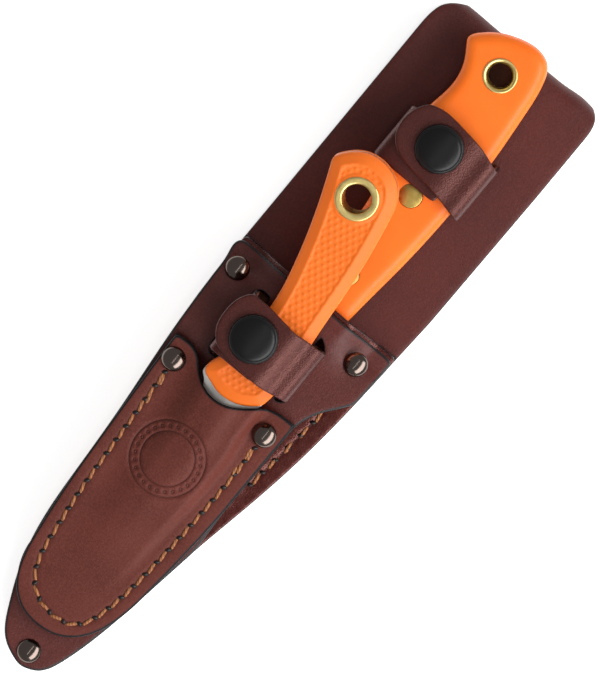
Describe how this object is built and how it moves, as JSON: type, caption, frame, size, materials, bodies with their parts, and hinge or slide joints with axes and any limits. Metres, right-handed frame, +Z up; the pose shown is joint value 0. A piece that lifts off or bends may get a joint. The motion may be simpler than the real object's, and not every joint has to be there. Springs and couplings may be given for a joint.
{
  "type": "knife sheath set",
  "caption": "Layered leather belt sheath with snap straps, holding a large smooth-handled fixed-blade knife and a small textured-handled one",
  "frame": {"origin": "middle of the belt flap's resting face, on the surface that the sheath lies on", "axes": "+X across the sheath, +Y along it from the tip towards the belt fold, +Z up through the layers"},
  "size_m": [0.0653, 0.2555, 0.0432],
  "materials": {
    "leather": "satin oil-tanned hide, cut edges inked black",
    "strap_leather": "satin oil-tanned strap hide",
    "thread": "waxed saddle thread",
    "smooth_grip": "satin moulded",
    "textured_grip": "matt moulded, stippled",
    "blade_steel": "satin ground",
    "brass": "turned and brushed",
    "rivet_metal": "blackened nickel, domed",
    "snap_cap": "black enamel",
    "snap_metal": "plated"
  },
  "bodies": {
    "sheath": {"back_panel": "leather", "carrier_panel": "leather", "carrier_rivets": "rivet_metal", "lower_snap_stud": "snap_metal", "lower_strap_band": "strap_leather", "main_pocket_front": "leather", "main_seam_thread": "thread", "main_welt": "leather", "pocket_ear_rivets": "rivet_metal", "rivet_burrs": "rivet_metal", "small_pocket_front": "leather", "small_seam_thread": "thread", "small_welt": "leather", "strap_anchor": "snap_metal", "tip_rivet": "rivet_metal", "upper_snap_stud": "snap_metal", "upper_strap_band": "strap_leather"},
    "large_knife": {"large_blade": "blade_steel", "large_lanyard_tube": "brass", "large_pins": "brass", "large_scale_back": "smooth_grip", "large_scale_front": "smooth_grip"},
    "small_knife": {"small_blade": "blade_steel", "small_lanyard_tube": "brass", "small_scale_back": "textured_grip", "small_scale_front": "textured_grip"},
    "upper_tab": {"upper_snap_cap": "snap_cap", "upper_snap_socket": "snap_metal", "upper_strap_tab": "strap_leather"},
    "lower_tab": {"lower_snap_cap": "snap_cap", "lower_snap_socket": "snap_metal", "lower_strap_tab": "strap_leather"}
  },
  "joints": [
    {"name": "large_knife_draw", "type": "slide", "parent": "sheath", "child": "large_knife", "axis": [0, 0.9977, 0.0684], "range_m": [0, 0.2]},
    {"name": "small_knife_draw", "type": "slide", "parent": "sheath", "child": "small_knife", "axis": [-0.0346, 0.9891, 0.1431], "range_m": [0, 0.11]},
    {"name": "upper_strap_open", "type": "hinge", "parent": "sheath", "child": "upper_tab", "pos_m": [0.0166, 0.04912, 0.02937], "axis": [0, 0.9977, 0.0684], "range_deg": [0, 150]},
    {"name": "lower_strap_open", "type": "hinge", "parent": "sheath", "child": "lower_tab", "pos_m": [0.0116, -0.03169, 0.0384], "axis": [0, 0.9977, 0.0684], "range_deg": [0, 150]}
  ]
}
